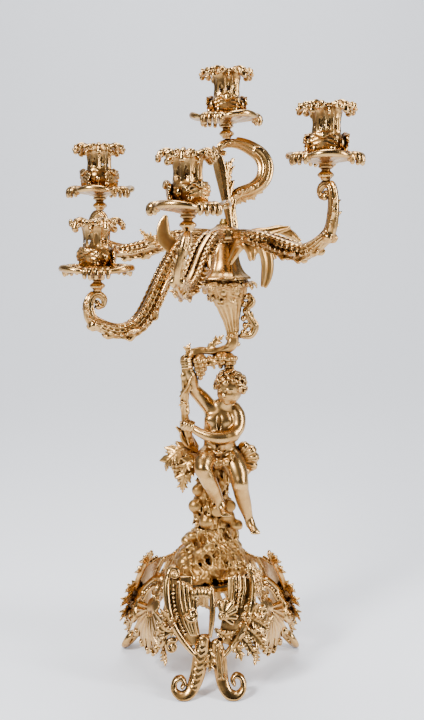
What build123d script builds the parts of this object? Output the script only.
from build123d import *
import os
from math import cos, hypot, radians, sin

# Five-light figural candelabra of cast and gilt bronze, in millimetres, +Z up.
# The origin is on the floor under the middle of the whole outline. The branches reach
# further to the front and left than to the back, so the base stands off from it.

os.makedirs("parts", exist_ok=True)

# Driving dimensions of the base
FOOT_REACH = 105.0        # base axis to the outermost part of a foot
BASE_HEIGHT = 122.0       # floor to the top scrolls of the legs
LEG_PLATE = 8.0           # cast thickness of a leg
PANEL_PLATE = 5.0         # cast thickness of a shell panel
RING_RADIUS = 45.0        # ring that legs, panels and rock are screwed to
RING_THICK = 6.0
RING_LEVEL = 99.0         # underside of the ring
FRONT_BEARING = -90.0     # the front leg faces the viewer
SCREW_RADIUS = 2.0
SCREW_HEAD = 3.6
SCREW_CIRCLE = 32.0

# Driving dimensions of the rock, the stump and the tie rod
ROCK_HEIGHT = 57.0
ROCK_WALL = 6.0
STUMP_HEIGHT = 66.0
ROD_RADIUS = 4.0
ROD_CLEARANCE = 0.3
NUT_ACROSS = 14.0
NUT_THICK = 6.0
WASHER_RADIUS = 11.0
WASHER_THICK = 2.0

# Driving dimensions of one light, from the arm's end upwards
KNOP_HEIGHT = 17.0
KNOP_RADIUS = 8.0
PAN_RADIUS = 42.0
PAN_DEPTH = 8.0
PAN_WALL = 2.4
PAN_SEAT = 3.0            # thickness of the pan where the nozzle stands
NOZZLE_HEIGHT = 52.0
NECK_RADIUS = 14.6
BULB_RADIUS = 19.5
SPIGOT_RADIUS = 3.0
SPIGOT_LENGTH = 8.0
CANDLE_RADIUS = 11.0      # half of a 22 mm candle, with its clearance
CANDLE_DEPTH = 22.0
LINER_WALL = 1.2
LINER_CLEARANCE = 0.3     # the nozzle liners lift out
LINER_FLOOR = 1.5
RIM_RADIUS = 32.0
RIM_HEIGHT = 5.5
RIM_DROOP = 6.0
FLUTES = 12

# Driving dimensions of the branch cluster
CLUSTER_X = 16.0          # the cluster stands right of the base's axis
CLUSTER_Y = 4.0
BELL_LEVEL = 443.0
BELL_RADIUS = 28.5
BELL_HEIGHT = 40.0
BELL_WALL = 2.5
BELL_NECK = 11.0
HUB_RADIUS = 17.0
HUB_HEIGHT = 20.0
BOLT_RADIUS = 3.5
BOLT_REACH = 34.0         # how deep the hub's bolt goes below the cup's rim
CUP_FOOT = 384.0
CUP_MOUTH = 27.0
ARM_ROOT = 6.4            # half width of an arm at the hub
ARM_BODY = 8.0            # half width of an arm where it is fullest
ARM_TIP = 4.2             # half width of an arm at its curl
CURL = 10.0               # the arm passes this far outside its light, then curls in
LEAF_THICK = 2.6

# Each outer light: its reach and bearing from the cluster's axis, the height of the
# arm's end, how far the arm sinks below that end, the height of its root, and how far
# the arm swings sideways on its way
OUTER_LIGHTS = {
    "right": (136.5, -43.5, 548.0, 70.0, 490.0, 0.0),
    "front": (148.7, -104.4, 500.0, 60.0, 489.0, -17.0),
    "left_front": (143.6, 199.95, 434.0, 44.0, 489.0, 0.0),
    "left_rear": (164.6, 151.7, 517.0, 46.0, 490.0, 0.0),
}
TOP_REACH = 32.0          # the top light stands behind the cluster's axis
TOP_BEARING = 86.0
TOP_LEVEL = 596.0
TOP_ROOT_BEARING = 50.0   # its arm is screwed to the back of the hub
TOP_LOOP = 50.0           # how far the top arm swings out to the right


def polar(reach, bearing):
    """Sideways and depth parts of a reach at a bearing."""
    return reach * cos(radians(bearing)), reach * sin(radians(bearing))


# Places of the five lights from the base's axis
LIGHTS = {}
for light, (reach, bearing, level, sink, root, sway) in OUTER_LIGHTS.items():
    dx, dy = polar(reach, bearing)
    LIGHTS[light] = (CLUSTER_X + dx, CLUSTER_Y + dy, level)
dx, dy = polar(TOP_REACH, TOP_BEARING)
LIGHTS["top"] = (CLUSTER_X + dx, CLUSTER_Y + dy, TOP_LEVEL)

# The base's axis, so that the middle of the outline falls on the origin
lights_x = [place[0] for place in LIGHTS.values()]
lights_y = [place[1] for place in LIGHTS.values()]
AXIS_X = -(min(lights_x) + max(lights_x)) / 2
AXIS_Y = -(min(lights_y) + max(lights_y)) / 2


def at(x, y, z):
    """A point given from the base's axis, in the part's own frame."""
    return Vector(AXIS_X + x, AXIS_Y + y, z)


def facing(bearing, z=0.0):
    """Upright plane at the base's axis whose normal points along a bearing."""
    out = Vector(*polar(1, bearing), 0)
    return Plane(origin=at(0, 0, z), x_dir=Vector(*polar(1, bearing + 90), 0), z_dir=out)


def beside(bearing, z=0.0):
    """Upright plane at the base's axis whose X runs outwards along a bearing."""
    return Plane(origin=at(0, 0, z), x_dir=Vector(*polar(1, bearing), 0),
                 z_dir=Vector(*polar(1, bearing - 90), 0))


def upright(x, y, z):
    """Upright plane through a point, X to the right and Y up, for turned profiles."""
    return Plane(origin=at(x, y, z), x_dir=(1, 0, 0), z_dir=(0, -1, 0))


def fitted(piece, *neighbours):
    """The piece cut back to seat on its neighbours, without loose splinters."""
    with BuildPart() as seated:
        add(piece, clean=False)
        if neighbours:
            add(list(neighbours), mode=Mode.SUBTRACT, clean=False)
    return seated.part.solids().sort_by(SortBy.VOLUME)[-1]


def ribbon(points, widths):
    """Face of a flat band along points, with its own half width at each point."""
    last = len(points) - 1
    left, right = [], []
    for i, ((x, y), half) in enumerate(zip(points, widths)):
        ahead, behind = points[min(i + 1, last)], points[max(i - 1, 0)]
        run_x, run_y = ahead[0] - behind[0], ahead[1] - behind[1]
        run = hypot(run_x, run_y)
        left.append((x - run_y / run * half, y + run_x / run * half))
        right.append((x + run_y / run * half, y - run_x / run * half))
    with BuildSketch() as band:
        with BuildLine():
            Spline(*left)
            Spline(*right)
            Line(left[0], right[0])
            Line(left[-1], right[-1])
        make_face()
    return band.sketch.face()


def volute(centre, radius, start, turns, half, taper=0.45, steps=9):
    """Points and half widths of a scroll's end, winding in towards its centre."""
    points, widths = [], []
    for i in range(steps):
        part = i / (steps - 1)
        angle = radians(start + 360 * turns * part)
        reach = radius * (1 - 0.6 * part)
        points.append((centre[0] + reach * cos(angle), centre[1] + reach * sin(angle)))
        widths.append(half * (1 - taper * part))
    return points, widths


def limb(stations, side=(0, 1, 0)):
    """A rounded limb: ellipses set square to the line through the stations."""
    centres = [at(x, y, z) for x, y, z, across, deep in stations]
    last = len(centres) - 1
    with BuildPart() as piece:
        for i, (x, y, z, across, deep) in enumerate(stations):
            along = centres[min(i + 1, last)] - centres[max(i - 1, 0)]
            with BuildSketch(Plane(origin=centres[i], x_dir=side, z_dir=along)):
                Ellipse(deep, across)
        loft()
    return piece.part.solid()


def bar(centres, halves, side, sides=6, square_to=None):
    """A moulded cast bar of several flats, tapering along its centre line."""
    last = len(centres) - 1
    with BuildPart() as piece:
        for i, (centre, half) in enumerate(zip(centres, halves)):
            along = centres[min(i + 1, last)] - centres[max(i - 1, 0)]
            if square_to is not None and i == 0:
                along = square_to
            with BuildSketch(Plane(origin=centre, x_dir=side, z_dir=along)):
                RegularPolygon(half, sides)
        loft()
    return piece.part.solid()


def leaf(spine, widths, side, thick=LEAF_THICK, fold=0.28):
    """An acanthus leaf: folded sections whose widths swell and draw in as lobes."""
    centres = [at(*point) for point in spine]
    last = len(centres) - 1
    with BuildPart() as piece:
        for i, (centre, width) in enumerate(zip(centres, widths)):
            along = centres[min(i + 1, last)] - centres[max(i - 1, 0)]
            half, drop, skin = width / 2, width * fold / 2, thick / 2
            with BuildSketch(Plane(origin=centre, x_dir=side, z_dir=along)):
                with BuildLine():
                    Polyline((-half, -drop), (0, skin), (half, -drop), (half * 0.9, -drop - skin),
                             (0, -skin), (-half * 0.9, -drop - skin), close=True)
                make_face()
        loft(ruled=True)
    return piece.part.solid()


PARTS = {}


def keep(name, shape):
    """Names a finished piece and holds it for its neighbours and the export."""
    shape.label = name
    PARTS[name] = shape
    return shape


# Ring under the rock, with holes for the tie rod and the screws
with BuildPart() as ring:
    with BuildSketch(Plane(origin=at(0, 0, RING_LEVEL))):
        Circle(RING_RADIUS)
        Circle(ROD_RADIUS + ROD_CLEARANCE, mode=Mode.SUBTRACT)
        with PolarLocations(SCREW_CIRCLE, 3, start_angle=FRONT_BEARING + 60):
            Circle(SCREW_RADIUS + ROD_CLEARANCE, mode=Mode.SUBTRACT)
    extrude(amount=RING_THICK)
    chamfer(ring.edges().filter_by(GeomType.CIRCLE).sort_by(SortBy.RADIUS)[-1:], RING_THICK / 3)
ring_part = ring.part

# Legs: a bowed cast plate, cut out as two scroll straps with a tall slot between
# them, that close at a knee and part again into two splayed scroll feet
KNEE = BASE_HEIGHT * 0.4
SLOT_HALF = 5.0
SLOT_ASIDE = -8.0         # the tall slot stands left of the leg's middle
LEG_RELIEF = 3.0          # how far the mouldings stand proud of legs and panels
STRAP_TOP = 47.0
STRAP_LOW = 17.0
FOOT_CURL = 11.0
FOOT_FLAT = 0.9           # filed off each foot scroll so that it stands flat


def bowed(bearing, outer, plate, half):
    """An upright plate, bowed along its outer line, at a bearing."""
    with BuildPart() as slab:
        with BuildSketch(beside(bearing)):
            with BuildLine():
                Spline(*outer)
                Spline(*[(x - plate, z) for x, z in outer])
                Line(outer[0], (outer[0][0] - plate, outer[0][1]))
                Line(outer[-1], (outer[-1][0] - plate, outer[-1][1]))
            make_face()
        extrude(amount=half, both=True)
    return slab.part


def raised(bearing, outer, bands, half):
    """Mouldings that stand proud of a bowed plate, following its curve."""
    with BuildPart() as relief:
        add(bowed(bearing, [(x + LEG_RELIEF, z) for x, z in outer], LEG_RELIEF * 1.7, half))
        with BuildSketch(facing(bearing)):
            for band in bands:
                add(band)
        extrude(amount=FOOT_REACH + 2 * LEG_RELIEF, mode=Mode.INTERSECT)
    return relief.part


def leg(bearing, spread):
    """One leg of the base at a bearing, with its two scroll feet."""
    bow = FOOT_REACH - LEG_PLATE
    with BuildSketch() as front:
        with BuildLine():
            Spline((-STRAP_TOP, BASE_HEIGHT), (-STRAP_TOP + 6, BASE_HEIGHT * 0.72),
                   (-STRAP_LOW - 8, KNEE + 6), (-STRAP_LOW, KNEE - 10))
            Line((-STRAP_LOW, KNEE - 10), (STRAP_LOW, KNEE - 10))
            Spline((STRAP_LOW, KNEE - 10), (STRAP_LOW + 8, KNEE + 6),
                   (STRAP_TOP - 6, BASE_HEIGHT * 0.72), (STRAP_TOP, BASE_HEIGHT))
            Line((STRAP_TOP, BASE_HEIGHT), (STRAP_TOP - 14, BASE_HEIGHT - 2))
            ThreePointArc((STRAP_TOP - 14, BASE_HEIGHT - 2), (0, RING_LEVEL - 4),
                          (-STRAP_TOP + 14, BASE_HEIGHT - 2))
            Line((-STRAP_TOP + 14, BASE_HEIGHT - 2), (-STRAP_TOP, BASE_HEIGHT))
        make_face()
        with Locations((SLOT_ASIDE, (RING_LEVEL + KNEE) / 2 + 8)):
            SlotOverall(RING_LEVEL - KNEE - 16, SLOT_HALF * 2, rotation=90, mode=Mode.SUBTRACT)
        for hand in (-1, 1):
            with Locations((hand * STRAP_TOP * 0.62, BASE_HEIGHT * 0.78)):
                Ellipse(5.5, 9, rotation=hand * 14, mode=Mode.SUBTRACT)
    feet = []
    for hand, half in ((-1, 5.0), (1, 4.4)):
        centre = (hand * spread, FOOT_CURL * 0.85 + half * 0.89 - FOOT_FLAT)
        points, widths = volute(centre, FOOT_CURL, -90 - hand * 70, hand * 0.8, half)
        run = [(hand * 8, KNEE + 4), (hand * 9, KNEE * 0.62)]
        feet.append(ribbon(run + points, [8, 7] + widths))
    outer = [(RING_RADIUS + 4 + LEG_PLATE, BASE_HEIGHT + 1), (bow * 0.76, BASE_HEIGHT * 0.72),
             (bow * 0.86, KNEE), (bow * 0.95, 20), (FOOT_REACH, -1)]
    bands = []
    for hand in (-1, 1):
        edge = [(STRAP_TOP - 4, BASE_HEIGHT - 3), (STRAP_TOP - 9, BASE_HEIGHT * 0.72),
                (STRAP_LOW + 6, KNEE + 6), (STRAP_LOW - 6, KNEE - 8)]
        bands.append(ribbon([(hand * s, z) for s, z in edge], [3.2, 3.6, 3.6, 2.6]))
    slot_left, slot_right = SLOT_ASIDE - SLOT_HALF - 4, SLOT_ASIDE + SLOT_HALF + 4
    bands.append(ribbon([(slot_left - 1, RING_LEVEL - 4), (slot_left - 3, KNEE + 34), (slot_left + 1, KNEE + 18)],
                        [2.4, 3.4, 2.4]))
    bands.append(ribbon([(slot_right + 1, RING_LEVEL + 1), (slot_right, KNEE + 34), (slot_right - 2, KNEE + 14)],
                        [2.6, 3.0, 2.4]))
    shell_points, shell_widths = volute((STRAP_LOW, KNEE + 40), 10, 200, -1.1, 3.2)
    bands.append(ribbon(shell_points, shell_widths))
    with BuildPart() as plate:
        add(bowed(bearing, outer, LEG_PLATE, STRAP_TOP + 4))
        with BuildSketch(facing(bearing)):
            add(front.sketch)
            for foot in feet:
                add(foot)
            with Locations((0, -5)):
                Rectangle(4 * spread, 10, mode=Mode.SUBTRACT)
        extrude(amount=FOOT_REACH + 2, mode=Mode.INTERSECT)
        add(raised(bearing, outer, bands, STRAP_TOP + 4))
    return plate.part.solids().sort_by(SortBy.VOLUME)[-1]


LEG_BEARINGS = {"front": FRONT_BEARING, "rear_right": FRONT_BEARING + 120, "rear_left": FRONT_BEARING + 240}
for place, bearing in LEG_BEARINGS.items():
    keep("base_leg_" + place, leg(bearing, spread=27.0))
legs = [PARTS["base_leg_" + place] for place in LEG_BEARINGS]

# Shell panels between the legs: a ribbed fan in a frame of two C-scrolls
PANEL_LOW = 14.0
FAN_RADIUS = 36.0
SIDE_SCROLL = 11.0
FAN_RIBS = 5


def panel(bearing):
    """One pierced shell panel between two legs."""
    middle = (0, (PANEL_LOW + BASE_HEIGHT) / 2 - 8)
    outer = [(RING_RADIUS + 7, BASE_HEIGHT - 6), (FOOT_REACH * 0.68, BASE_HEIGHT * 0.7),
             (FOOT_REACH * 0.79, BASE_HEIGHT * 0.42), (FOOT_REACH * 0.74, PANEL_LOW)]
    arch = [(-31, middle[1] - 6), (-29, middle[1] + 14), (-16, middle[1] + 30), (0, middle[1] + 35),
            (16, middle[1] + 30), (29, middle[1] + 14), (31, middle[1] - 6)]
    bands = [ribbon(arch, [2.4, 3.4, 3.8, 3.4, 3.8, 3.4, 2.4])]
    for rib in range(FAN_RIBS + 1):
        angle = 180 + 180 * rib / FAN_RIBS
        near, far = polar(FAN_RADIUS * 0.2, angle), polar(FAN_RADIUS * 0.96, angle)
        bands.append(ribbon([(near[0], middle[1] + near[1]), (far[0], middle[1] + far[1])], [1.6, 3.0]))
    with BuildPart() as shell:
        add(bowed(bearing, outer, PANEL_PLATE, 60))
        with BuildSketch(facing(bearing)):
            with Locations(middle):
                Circle(FAN_RADIUS)
            with Locations((0, BASE_HEIGHT - 24)):
                Trapezoid(60, 34, 60, rotation=180)
            for hand in (-1, 1):
                with Locations((hand * (FAN_RADIUS + 5), middle[1] - 8), (hand * (FAN_RADIUS + 3), middle[1] + 14)):
                    Circle(SIDE_SCROLL)
                    Circle(SIDE_SCROLL * 0.4, mode=Mode.SUBTRACT)
            for rib in range(FAN_RIBS):
                angle = 180 + 180 * (rib + 0.5) / FAN_RIBS
                tip_x, tip_z = polar(FAN_RADIUS, angle)
                with Locations((middle[0] + tip_x, middle[1] + tip_z)):
                    Circle(8)
                mid_x, mid_z = polar(FAN_RADIUS * 0.6, angle)
                with Locations((middle[0] + mid_x, middle[1] + mid_z)):
                    SlotOverall(15, 5, rotation=angle, mode=Mode.SUBTRACT)
        extrude(amount=FOOT_REACH + 2, mode=Mode.INTERSECT)
        add(raised(bearing, outer, bands, 60))
    return shell.part


for place, offset_bearing in {"right": 60, "rear": 180, "left": 300}.items():
    keep("base_panel_" + place, fitted(panel(FRONT_BEARING + offset_bearing), *legs, ring_part))
keep("base_ring", fitted(ring_part, *legs))

# Screws that hold the rock on the ring, heads below
with BuildPart() as screws:
    with BuildSketch(Plane(origin=at(0, 0, RING_LEVEL - 3))):
        with PolarLocations(SCREW_CIRCLE, 3, start_angle=FRONT_BEARING + 60):
            RegularPolygon(SCREW_HEAD, 6)
    extrude(amount=3)
    with BuildSketch(Plane(origin=at(0, 0, RING_LEVEL))):
        with PolarLocations(SCREW_CIRCLE, 3, start_angle=FRONT_BEARING + 60):
            Circle(SCREW_RADIUS)
    extrude(amount=RING_THICK + 8)
keep("base_screws", screws.part)

# Rock mound: uneven courses of stone, hollow below, with lugs for the screws
ROCK_LEVEL = RING_LEVEL + RING_THICK
ROCK_COURSES = [(0.0, 43, 40, 4), (0.22, 45, 39, 9), (0.45, 37, 34, 22), (0.7, 29, 27, 8), (1.0, 23, 21, 30)]


def courses(grow, top):
    """Stacked seven-sided stone courses, grown or shrunk evenly."""
    with BuildPart() as stone:
        for share, wide, deep, turn in ROCK_COURSES:
            with BuildSketch(Plane(origin=at(4 * share, 4 * share, ROCK_LEVEL + share * top))):
                with BuildLine():
                    Polyline(*[(wide * (1 + 0.09 * (-1) ** i) * cos(radians(turn + i * 360 / 9)) + grow * cos(radians(turn + i * 40)),
                                deep * (1 + 0.07 * (-1) ** i) * sin(radians(turn + i * 360 / 9)) + grow * sin(radians(turn + i * 40)))
                               for i in range(9)], close=True)
                make_face()
        loft(ruled=True)
    return stone.part


with BuildPart() as rock:
    add(courses(0, ROCK_HEIGHT))
    add(courses(-ROCK_WALL, ROCK_HEIGHT - ROCK_WALL), mode=Mode.SUBTRACT, clean=False)
    with BuildSketch(Plane(origin=at(0, 0, ROCK_LEVEL))):
        with PolarLocations(SCREW_CIRCLE, 3, start_angle=FRONT_BEARING + 60):
            Circle(SCREW_RADIUS + 4)
    extrude(amount=14, clean=False)
    with BuildSketch(Plane(origin=at(0, 0, ROCK_LEVEL))):
        with PolarLocations(SCREW_CIRCLE, 3, start_angle=FRONT_BEARING + 60):
            Circle(SCREW_RADIUS + ROD_CLEARANCE)
    extrude(amount=8.5, mode=Mode.SUBTRACT, clean=False)
    with Locations(at(0, 0, ROCK_LEVEL + ROCK_HEIGHT)):
        Hole(ROD_RADIUS + ROD_CLEARANCE, depth=ROCK_WALL * 3)
keep("rock_mound", fitted(rock.part, *legs, *[PARTS["base_panel_" + p] for p in ("right", "rear", "left")]))

# Tree stump that the child sits on, bored from below for the tie rod
STUMP_LEVEL = ROCK_LEVEL + ROCK_HEIGHT
ROD_SOCKET = STUMP_HEIGHT * 0.6
with BuildPart() as stump:
    for share, x, y, wide, deep in ((0, 4, 4, 21, 19), (0.25, 3, 5, 24, 20), (0.5, 1, 6, 19, 17),
                                    (0.75, 3, 7, 21, 16), (1.0, 6, 8, 16, 13)):
        with BuildSketch(Plane(origin=at(x, y, STUMP_LEVEL + share * STUMP_HEIGHT))):
            with BuildLine():
                Polyline(*[((wide + 2.2 * (-1) ** i) * cos(radians(20 * share * 3 + i * 36)),
                            (deep + 1.8 * (-1) ** i) * sin(radians(20 * share * 3 + i * 36)))
                           for i in range(10)], close=True)
            make_face()
    loft(ruled=True)
    with BuildSketch(Plane(origin=at(0, 0, STUMP_LEVEL))):
        Circle(ROD_RADIUS + ROD_CLEARANCE)
    extrude(amount=ROD_SOCKET, mode=Mode.SUBTRACT)
stump_part = stump.part

# Tie rod with its washer and nut under the ring
ROD_LEVEL = RING_LEVEL - WASHER_THICK - NUT_THICK - 5
with BuildPart() as rod:
    with BuildSketch(Plane(origin=at(0, 0, ROD_LEVEL))):
        Circle(ROD_RADIUS)
    extrude(amount=STUMP_LEVEL + ROD_SOCKET - 1 - ROD_LEVEL)
keep("tie_rod", rod.part)
with BuildPart() as washer:
    with BuildSketch(Plane(origin=at(0, 0, RING_LEVEL - WASHER_THICK))):
        Circle(WASHER_RADIUS)
        Circle(ROD_RADIUS + ROD_CLEARANCE, mode=Mode.SUBTRACT)
    extrude(amount=WASHER_THICK)
keep("tie_washer", washer.part)
with BuildPart() as nut:
    with BuildSketch(Plane(origin=at(0, 0, RING_LEVEL - WASHER_THICK - NUT_THICK))):
        RegularPolygon(NUT_ACROSS / 2, 6, major_radius=False)
        Circle(ROD_RADIUS, mode=Mode.SUBTRACT)
    extrude(amount=NUT_THICK)
keep("tie_nut", nut.part)

# Vine stem up the left of the child, and the branch that carries the cup
STEM_LINE = [(-12, 8, 222), (-19, 4, 244), (-25, -3, 268), (-28, -9, 296), (-28, -10, 326), (-26, -9, 348), (-21, -6, 362)]
BRANCH_LINE = [(-21, -6, 362), (-8, -3, 363.5), (8, 0, 363), (21, 2, 365), (26, 3, 373), (25, 4, CUP_FOOT)]
stem_part = bar([at(*p) for p in STEM_LINE], [5.5, 5, 4.5, 4.2, 4, 4.4, 4.8], (0, 1, 0), sides=8)
with BuildPart() as branch:
    add(bar([at(*p) for p in BRANCH_LINE], [5.4, 4.6, 5.2, 5.6, 6.2, 6.8], (0, 1, 0), sides=8))
    add(leaf([(-3, -3, 364), (3, -3, 370), (9, -2, 375), (14, -2, 379)], [4, 12, 9, 2], (0, 1, 0.2)))
branch_part = branch.part.solid()

# The child, cast in pieces: trunk of the body, head, arms and legs
torso_part = limb([(13, -2, 231, 13, 11), (12, -2, 242, 18.5, 14), (10, -4, 257, 17, 15.5), (9, -3, 272, 16.5, 14),
                   (10, 0, 287, 18.5, 12.5), (13, 1, 299, 15, 10), (19, -3, 311, 8, 8)])
HEAD = (22, -7, 323.5)
CURL_PROUD = 6.5          # how far a lock of hair stands from the skull's middle courses
HEAD_HIGH = 18.0          # half of the head's height
HEAD_WIDE = 16.0
SKULL = [(-0.98, 0.3), (-0.8, 0.62), (-0.45, 0.9), (0.0, 1.0), (0.4, 0.95), (0.75, 0.7), (0.97, 0.3)]
with BuildPart() as head:
    add(limb([(HEAD[0] - 2 * share, HEAD[1] - 2 * share, HEAD[2] + HEAD_HIGH * share, HEAD_WIDE * wide, HEAD_WIDE * wide)
              for share, wide in SKULL]))
    for x, y, z in ((12, -6, 12), (-9, -9, 13), (0, 4, 18), (15, 3, 4), (11, 9, -6), (0, 15, 4), (-12, 8, 7)):
        with BuildSketch(Plane(origin=at(HEAD[0] + x * 0.7, HEAD[1] + y * 0.7, HEAD[2] + z * 0.7), z_dir=(x, y, z))):
            RegularPolygon(7, 6)
        extrude(amount=CURL_PROUD, taper=28, clean=False)
arm_raised = limb([(0, 0, 298, 9, 9), (-9, 2, 309, 8.5, 8.5), (-18, -1, 318, 7.5, 7.5), (-22, -5, 331, 8, 7.5),
                   (-25, -8, 344, 5.4, 5.4), (-27, -9, 352, 6.4, 7), (-26, -9, 359, 5, 5.6)])
arm_lowered = limb([(25, 0, 299, 7, 8), (31, -4, 288, 8.4, 8.4), (29, -12, 276, 7.8, 7.8), (18, -19, 270, 7.2, 7.2),
                    (3, -22, 271, 6.6, 6.6), (-11, -19, 275, 5.4, 5.4), (-22, -15, 280, 5.4, 5.8), (-31, -11, 285, 4, 4.6)], side=(0, 0, 1))
leg_left = limb([(4, -4, 246, 13, 12), (-3, -16, 245, 12.5, 12), (-8, -28, 240, 11, 10.5), (-5, -32, 226, 9.4, 9),
                 (2, -29, 211, 8, 7.6), (9, -27, 198, 5.6, 5.4), (13, -32, 191, 5.4, 4.6), (16, -41, 187, 4.2, 3)])
leg_right = limb([(20, -4, 243, 13, 12), (26, -15, 236, 12.5, 12), (31, -24, 224, 10.6, 10.4), (33, -23, 209, 9.4, 9),
                  (37, -19, 193, 8, 7.6), (42, -18, 178, 5.4, 5.2), (46, -23, 170, 5.2, 4.6), (51, -31, 165, 4.2, 3)])

keep("tree_stump", fitted(stump_part, leg_left, leg_right, torso_part))
keep("vine_stem", fitted(stem_part, PARTS["tree_stump"]))
keep("vine_branch", fitted(branch_part, PARTS["vine_stem"]))
keep("child_torso", fitted(torso_part, PARTS["vine_stem"]))
keep("child_head", fitted(head.part, PARTS["child_torso"]))
keep("child_arm_raised", fitted(arm_raised, PARTS["child_torso"], PARTS["child_head"], PARTS["vine_stem"], PARTS["vine_branch"]))
keep("child_arm_lowered", fitted(arm_lowered, PARTS["child_torso"], PARTS["child_head"], PARTS["vine_stem"]))
keep("child_leg_left", fitted(leg_left, PARTS["child_torso"], PARTS["vine_stem"]))
keep("child_leg_right", fitted(leg_right, PARTS["child_torso"], PARTS["child_leg_left"]))

# Leaf garland over the lap
garland = leaf([(-7, -19, 252), (2, -21, 245), (11, -22, 241), (20, -22, 242), (29, -20, 249)],
               [5, 11, 8, 11, 5], (0, -0.7, -1), thick=4)
keep("leaf_garland", fitted(garland, PARTS["child_torso"], PARTS["child_leg_left"], PARTS["child_leg_right"],
                            PARTS["child_arm_lowered"]))


def grapes(x, y, z, rows, *holders):
    """A bunch of faceted berries on a stalk, fuller above and pointed below."""
    with BuildPart() as berry:
        for level, radius in ((-BERRY, BERRY * 0.45), (-BERRY * 0.1, BERRY * 1.15), (BERRY, BERRY * 0.45)):
            with BuildSketch(Plane.XY.offset(level)):
                RegularPolygon(radius, 6)
        loft(ruled=True)
    places = []
    for row, (count, ring_radius, drop) in enumerate(rows):
        for i in range(count):
            bx, by = polar(ring_radius, i * 360 / count + row * 31)
            places.append(Location(at(x + bx, y + by, z - drop)))
    with BuildPart() as stalk:
        with BuildSketch(Plane(origin=at(x, y, z - rows[-1][2]))):
            RegularPolygon(2.2, 6)
        with BuildSketch(Plane(origin=at(x, y, z + BERRY + STALK))):
            RegularPolygon(2.8, 6)
        loft()
    with BuildPart() as bunch:
        add(fitted(stalk.part, *holders), clean=False)
        with Locations(*places):
            add(berry.part, clean=False)
    return bunch.part.solids().sort_by(SortBy.VOLUME)[-1]


BERRY = 3.6               # radius of a berry
STALK = 3.0               # stalk from the top berries into the branch
BUNCH = [(4, 5.6, 0), (3, 4.4, 5.6), (2, 2.8, 11)]
with BuildPart() as bunches:
    add(grapes(-11, -6, 352, BUNCH, PARTS["vine_branch"]))
    add(grapes(15, 0, 351, BUNCH[:1], PARTS["vine_branch"]))
keep("grapes_high", bunches.part)
keep("vine_leaf_reed", fitted(leaf([(-15, 3, 250), (-21, 0, 260), (-29, -3, 269), (-36, -6, 276)], [12, 11, 9, 3], (0.3, 1, 0), thick=4),
                              PARTS["vine_stem"], PARTS["child_torso"]))
keep("grapes_low", grapes(-36, -1, 238, BUNCH))
keep("vine_leaf_low", fitted(leaf([(-15, 5, 244), (-24, 3, 252), (-34, -1, 250), (-43, -4, 240), (-42, -6, 228)], [8, 20, 14, 18, 3],
                                  (0, 1, 0.2), thick=4), PARTS["vine_stem"], PARTS["grapes_low"], PARTS["tree_stump"]))

# Scallop of rock-work behind the right thigh
with BuildPart() as scallop:
    for x, z, r in ((37, 250, 9), (41, 240, 9), (38, 229, 8)):
        with BuildSketch(Plane(origin=at(x, -4, z), x_dir=(1, 0, 0), z_dir=(0, 1, 0))):
            RegularPolygon(r, 8)
        with BuildSketch(Plane(origin=at(x - 12, 14, z - 2), x_dir=(1, 0, 0), z_dir=(0, 1, 0))):
            RegularPolygon(r * 0.8, 8)
        loft(ruled=True)
keep("rock_scallop", fitted(scallop.part, PARTS["child_leg_right"], PARTS["child_torso"], PARTS["tree_stump"]))

# Cup of the cornucopia under the bell, its mouth open, with a side crest of scrolls
CUP_RIM = BELL_LEVEL
with BuildPart() as cup:
    for share, radius in ((0, 7.0), (0.25, 9.5), (0.6, 17), (0.85, CUP_MOUTH - 2.5), (1.0, CUP_MOUTH)):
        shift = (CLUSTER_X - 25) * share
        with BuildSketch(Plane(origin=at(25 + shift, 4, CUP_FOOT + share * (CUP_RIM - CUP_FOOT)))):
            Circle(radius)
    loft()
cup_outer = cup.part
with BuildPart() as cup_shell:
    add(cup_outer)
    with BuildSketch(Plane(origin=at(CLUSTER_X, CLUSTER_Y, CUP_RIM))):
        Circle(CUP_MOUTH - 3)
    with BuildSketch(Plane(origin=at(CLUSTER_X + 2, CLUSTER_Y, CUP_RIM - 26))):
        Circle(9)
    loft(mode=Mode.SUBTRACT)
    with BuildSketch(Plane(origin=at(CLUSTER_X, CLUSTER_Y, CUP_RIM - 4))):
        with PolarLocations(CUP_MOUTH + 3, 7, start_angle=12):
            Ellipse(8, 6.5)
        Circle(CUP_MOUTH - 3, mode=Mode.SUBTRACT)
    extrude(amount=4)
    with BuildSketch(Plane(origin=at(CLUSTER_X, CLUSTER_Y, CUP_RIM - BOLT_REACH - 1))):
        Circle(BOLT_RADIUS + ROD_CLEARANCE)
    extrude(amount=BOLT_REACH - 20, mode=Mode.SUBTRACT)
keep("cornucopia_cup", fitted(cup_shell.part, PARTS["vine_branch"]))
crest_line = [(30, CUP_FOOT - 6), (41, CUP_FOOT - 2), (47, CUP_FOOT + 8), (40, CUP_FOOT + 18), (38, CUP_FOOT + 28), (45, CUP_FOOT + 36), (40, CUP_FOOT + 44)]
with BuildPart() as crest:
    with BuildSketch(Plane(origin=at(0, CLUSTER_Y + 2.5, 0), x_dir=(1, 0, 0), z_dir=(0, -1, 0))):
        add(ribbon(crest_line, [2.5, 4, 4.5, 4, 3.5, 4, 2.5]))
        with Locations((33, CUP_FOOT + 14)):
            Rectangle(18, 6)
        with Locations((35, CUP_FOOT + 40)):
            Rectangle(18, 6)
    extrude(amount=5)
keep("cup_crest", fitted(crest.part, PARTS["cornucopia_cup"], PARTS["vine_branch"]))

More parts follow.
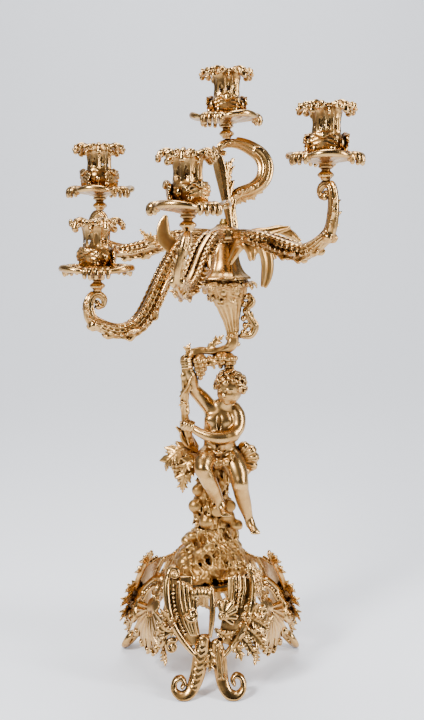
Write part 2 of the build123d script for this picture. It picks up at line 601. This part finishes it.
# Bell under the branches, an open canopy, with its hub above and a bolt through both
with BuildPart() as bell:
    with BuildSketch(upright(CLUSTER_X, CLUSTER_Y, BELL_LEVEL)):
        with BuildLine():
            Line((0, BELL_HEIGHT), (BELL_NECK, BELL_HEIGHT))
            ThreePointArc((BELL_NECK, BELL_HEIGHT), (BELL_NECK + 3, BELL_HEIGHT * 0.42), (BELL_RADIUS - 1, 5))
            Line((BELL_RADIUS - 1, 5), (BELL_RADIUS, 3))
            Line((BELL_RADIUS, 3), (BELL_RADIUS, 0))
            Line((BELL_RADIUS, 0), (BELL_RADIUS - BELL_WALL, 0))
            Line((BELL_RADIUS - BELL_WALL, 0), (BELL_RADIUS - BELL_WALL - 1, 4))
            ThreePointArc((BELL_RADIUS - BELL_WALL - 1, 4), (BELL_NECK, BELL_HEIGHT * 0.45),
                          (BELL_NECK - 3, BELL_HEIGHT - BELL_WALL))
            Line((BELL_NECK - 3, BELL_HEIGHT - BELL_WALL), (0, BELL_HEIGHT - BELL_WALL))
            Line((0, BELL_HEIGHT - BELL_WALL), (0, BELL_HEIGHT))
        make_face()
    revolve(axis=Axis(at(CLUSTER_X, CLUSTER_Y, 0), (0, 0, 1)))
    with Locations(at(CLUSTER_X, CLUSTER_Y, BELL_LEVEL + BELL_HEIGHT)):
        Hole(BOLT_RADIUS + ROD_CLEARANCE, depth=BELL_WALL * 2)
keep("bell_canopy", bell.part.solid())
HUB_LEVEL = BELL_LEVEL + BELL_HEIGHT
ARM_SEAT = HUB_RADIUS - 1.2      # flats that the arms are screwed against
ARM_BEARINGS = [values[1] for values in OUTER_LIGHTS.values()] + [TOP_ROOT_BEARING]
with BuildPart() as hub:
    with BuildSketch(upright(CLUSTER_X, CLUSTER_Y, HUB_LEVEL)):
        with BuildLine():
            Polyline((BOLT_RADIUS + ROD_CLEARANCE, 0), (BELL_NECK + 1, 0), (HUB_RADIUS, 1.5), (HUB_RADIUS, HUB_HEIGHT - 5),
                     (9, HUB_HEIGHT - 2), (9, HUB_HEIGHT), (BOLT_RADIUS + ROD_CLEARANCE, HUB_HEIGHT), close=True)
        make_face()
    revolve(axis=Axis(at(CLUSTER_X, CLUSTER_Y, 0), (0, 0, 1)))
    for bearing in ARM_BEARINGS:
        out_x, out_y = polar(ARM_SEAT, bearing)
        seat = Plane(origin=at(CLUSTER_X + out_x, CLUSTER_Y + out_y, 0), x_dir=(0, 0, 1), z_dir=(*polar(1, bearing), 0))
        split(bisect_by=seat, keep=Keep.BOTTOM)
keep("branch_hub", hub.part.solid())
with BuildPart() as bolt:
    with BuildSketch(Plane(origin=at(CLUSTER_X, CLUSTER_Y, CUP_RIM - BOLT_REACH))):
        Circle(BOLT_RADIUS)
    extrude(amount=HUB_LEVEL + HUB_HEIGHT - CUP_RIM + BOLT_REACH)
    with BuildSketch(Plane(origin=at(CLUSTER_X, CLUSTER_Y, HUB_LEVEL + HUB_HEIGHT))):
        Circle(6)
    extrude(amount=5)
keep("hub_bolt", bolt.part.solid())


def turned(x, y, z, outline):
    """A turned piece from the right half of its outline, on the light's axis."""
    with BuildPart() as piece:
        with BuildSketch(upright(x, y, z)):
            with BuildLine():
                Polyline(*outline, close=True)
            make_face()
        revolve(axis=Axis(at(x, y, 0), (0, 0, 1)))
    return piece.part.solid()


def lobed(x, y, z, mean, swell, lobes, turn, amount):
    """An upright prism with a wavy outline, that trims a rim into lobes."""
    points = [polar(mean + swell * cos(radians(lobes * (a - turn))), a) for a in range(0, 360, 360 // (lobes * 4))]
    with BuildPart() as trim:
        with BuildSketch(Plane(origin=at(x, y, z))):
            with BuildLine():
                Spline(*points, periodic=True)
            make_face()
        extrude(amount=amount, both=True)
    return trim.part.solid()


HOLE = SPIGOT_RADIUS + LINER_CLEARANCE


def knop(x, y, z):
    """Turned knop between the arm's curl and the drip pan."""
    top = KNOP_HEIGHT
    return turned(x, y, z, [(0, 0), (5.0, 0), (5.6, 0.13 * top), (KNOP_RADIUS, 0.3 * top), (4.6, 0.46 * top),
                            (4.6, 0.6 * top), (KNOP_RADIUS - 1, 0.8 * top), (KNOP_RADIUS, top), (HOLE, top),
                            (HOLE, top - SPIGOT_LENGTH), (0, top - SPIGOT_LENGTH)])


def pan(x, y, z, turn):
    """Lobed drip pan with a rolled lip, pierced for the nozzle's spigot."""
    edge, wall = PAN_RADIUS, PAN_WALL
    dish = turned(x, y, z, [(HOLE, 0), (KNOP_RADIUS + 3, 0), (edge * 0.55, PAN_DEPTH * 0.35), (edge - 7, PAN_DEPTH * 0.6), (edge, PAN_DEPTH - 1.5),
                            (edge, PAN_DEPTH), (edge - 5, PAN_DEPTH + 1), (edge - 8, PAN_DEPTH * 0.6 + wall),
                            (edge * 0.5, PAN_DEPTH * 0.35 + wall), (KNOP_RADIUS + 1, PAN_SEAT), (HOLE, PAN_SEAT)])
    with BuildPart() as dished:
        add(dish)
        add(lobed(x, y, z, PAN_RADIUS - 3.4, 3.4, 6, turn, 40), mode=Mode.INTERSECT)
    return dished.part.solid()


def nozzle(x, y, z, turn):
    """Candle nozzle: leafy bulb, fluted neck, bored for its liner."""
    top, bore = NOZZLE_HEIGHT, CANDLE_RADIUS + LINER_WALL + LINER_CLEARANCE
    depth = CANDLE_DEPTH + LINER_FLOOR + LINER_CLEARANCE
    tail = 1 - PAN_SEAT - SPIGOT_LENGTH
    body = turned(x, y, z, [(0, tail), (SPIGOT_RADIUS, tail), (SPIGOT_RADIUS, 0), (9, 0), (10, 0.08 * top),
                            (16, 0.16 * top), (BULB_RADIUS, 0.3 * top), (BULB_RADIUS - 2.5, 0.43 * top),
                            (NECK_RADIUS, 0.5 * top), (NECK_RADIUS, 0.8 * top), (NECK_RADIUS + 2, top),
                            (bore, top), (bore, top - depth), (0, top - depth)])
    with BuildPart() as whole:
        add(body)
        with BuildSketch(Plane(origin=at(x, y, z + 0.52 * top))):
            with PolarLocations(NECK_RADIUS + 1.1, FLUTES, start_angle=turn):
                RegularPolygon(2.0, 4)
        extrude(amount=0.32 * top, mode=Mode.SUBTRACT)
        with BuildSketch(Plane(origin=at(x, y, z + 0.18 * top))):
            with PolarLocations(BULB_RADIUS - 2, 3, start_angle=turn):
                RegularPolygon(6.2, 6)
            Circle(9, mode=Mode.SUBTRACT)
        extrude(amount=0.24 * top)
    return whole.part.solid()


def liner(x, y, z, turn):
    """Lift-out nozzle liner: a thin socket with a drooping rim of leaves."""
    skin = CANDLE_RADIUS + LINER_WALL
    rim = turned(x, y, z, [(skin, 0), (NECK_RADIUS + 2.5, 0), (RIM_RADIUS - 9, 1), (RIM_RADIUS, -RIM_DROOP + 1.5), (RIM_RADIUS - 1, -RIM_DROOP + 4),
                           (RIM_RADIUS - 8, RIM_HEIGHT - 1.5), (CANDLE_RADIUS + 3, RIM_HEIGHT - 2), (CANDLE_RADIUS + 1.5, RIM_HEIGHT), (CANDLE_RADIUS, RIM_HEIGHT),
                           (CANDLE_RADIUS, RIM_HEIGHT - CANDLE_DEPTH), (0, RIM_HEIGHT - CANDLE_DEPTH),
                           (0, RIM_HEIGHT - CANDLE_DEPTH - LINER_FLOOR), (skin, RIM_HEIGHT - CANDLE_DEPTH - LINER_FLOOR)])
    with BuildPart() as whole:
        add(rim)
        add(lobed(x, y, z, RIM_RADIUS - 4.5, 4.5, 5, turn, 40), mode=Mode.INTERSECT)
    return whole.part.solid()


def knop_seat(arm, x, y, z):
    """The arm with a flat filed on its curl, where the knop stands."""
    with BuildPart() as seated:
        add(arm, clean=False)
        with Locations(at(x, y, z + KNOP_RADIUS / 2)):
            Box(KNOP_RADIUS * 2, KNOP_RADIUS * 2, KNOP_RADIUS, mode=Mode.SUBTRACT)
    return seated.part.solids().sort_by(SortBy.VOLUME)[-1]


def outer_arm(reach, bearing, level, sink, root, sway):
    """Scroll arm: out from the hub, down to its low point, up past the light, and in."""
    out = Vector(*polar(1, bearing), 0)
    middle = at(CLUSTER_X, CLUSTER_Y, 0)
    drop = root - (level - sink)
    line = [(ARM_SEAT, root), (reach * 0.2, root + 1), (reach * 0.3, root), (reach * 0.45, root - 0.3 * drop),
            (reach * 0.66, root - 0.86 * drop), (reach * 0.84, level - sink), (reach + CURL * 0.35, level - sink * 0.72),
            (reach + CURL, level - sink * 0.42), (reach + CURL * 0.75, level - 7), (reach, level - 3),
            (reach - CURL * 0.7, level - 9), (reach - CURL * 0.35, level - 15)]
    full = 4
    halves = [ARM_ROOT + (ARM_BODY - ARM_ROOT) * i / full if i <= full else
              ARM_BODY - (ARM_BODY - ARM_TIP) * (i - full) / (len(line) - 1 - full) for i in range(len(line))]
    across = Vector(*polar(1, bearing + 90), 0)
    centres = []
    for u, z in line:
        share = min((u - ARM_SEAT) / (reach + CURL - ARM_SEAT), 1)
        centres.append(middle + out * u + across * (sway * sin(radians(180 * share ** 1.3))) + Vector(0, 0, z))
    return bar(centres, halves, across, square_to=out)


def top_arm():
    """Scroll arm of the top light: up from the hub, out to the right, and back over."""
    x, y, z = LIGHTS["top"]
    out_x, out_y = polar(1, TOP_ROOT_BEARING)
    root = HUB_LEVEL + ARM_ROOT + 2
    loop = CLUSTER_X + TOP_LOOP
    line = [(CLUSTER_X + out_x * ARM_SEAT, CLUSTER_Y + out_y * ARM_SEAT, root),
            (CLUSTER_X + out_x * 26, CLUSTER_Y + out_y * 26, root + 4), (loop - 40, y - 13, z - 84),
            (loop - 41, y - 16, z - 68), (loop - 31, y - 17, z - 56), (loop - 15, y - 16, z - 51),
            (loop - 3, y - 13, z - 39), (loop, y - 9, z - 25), (loop - 8, y - 5, z - 12),
            (loop - 22, y - 2, z - 4), (x + 12, y, z - 3), (x, y, z - 4), (x - 9, y, z - 12)]
    halves = [ARM_BODY - 0.3 * i for i in range(len(line))]
    return bar([at(*p) for p in line], halves, (0, 1, 0), square_to=Vector(out_x, out_y, 0))


ARMS = {light: outer_arm(*values) for light, values in OUTER_LIGHTS.items()}
ARMS["top"] = top_arm()
for number, (light, (x, y, z)) in enumerate(LIGHTS.items()):
    turn = 17 * number
    keep("arm_" + light, knop_seat(ARMS[light], x, y, z))
    keep("knop_" + light, knop(x, y, z))
    keep("pan_" + light, pan(x, y, z + KNOP_HEIGHT, turn))
    keep("nozzle_" + light, nozzle(x, y, z + KNOP_HEIGHT + PAN_SEAT, turn))
    keep("liner_" + light, liner(x, y, z + KNOP_HEIGHT + PAN_SEAT + NOZZLE_HEIGHT, turn))

# Acanthus leaves that spring from the bell and the hub
keep("leaf_right", fitted(leaf([(CLUSTER_X + 12, CLUSTER_Y - 1, 466), (CLUSTER_X + 22, CLUSTER_Y - 3, 481),
                                (CLUSTER_X + 33, CLUSTER_Y - 5, 484), (CLUSTER_X + 41, CLUSTER_Y - 8, 470),
                                (CLUSTER_X + 42, CLUSTER_Y - 10, 450), (CLUSTER_X + 40, CLUSTER_Y - 11, 432)],
                               [10, 20, 30, 24, 22, 3], (0.1, 1, 0), thick=3.4), PARTS["bell_canopy"]))
keep("leaf_left", fitted(leaf([(CLUSTER_X - 9.5, CLUSTER_Y, HUB_LEVEL + HUB_HEIGHT - 1), (CLUSTER_X - 30, CLUSTER_Y - 2, 514),
                               (CLUSTER_X - 52, CLUSTER_Y - 4, 522), (CLUSTER_X - 70, CLUSTER_Y - 6, 514)],
                              [9, 26, 30, 6], (0, 1, 0), thick=3.4), PARTS["branch_hub"]))
keep("leaf_back", fitted(leaf([(CLUSTER_X - 3, CLUSTER_Y + 10, 466), (CLUSTER_X - 5, CLUSTER_Y + 34, 482), (CLUSTER_X - 6, CLUSTER_Y + 50, 476),
                               (CLUSTER_X - 7, CLUSTER_Y + 58, 456)], [10, 22, 20, 4], (1, 0.1, 0), thick=3.4), PARTS["bell_canopy"]))

for name, shape in PARTS.items():
    export_step(shape, f"parts/{name}.step")
print(len(PARTS), "nodes")
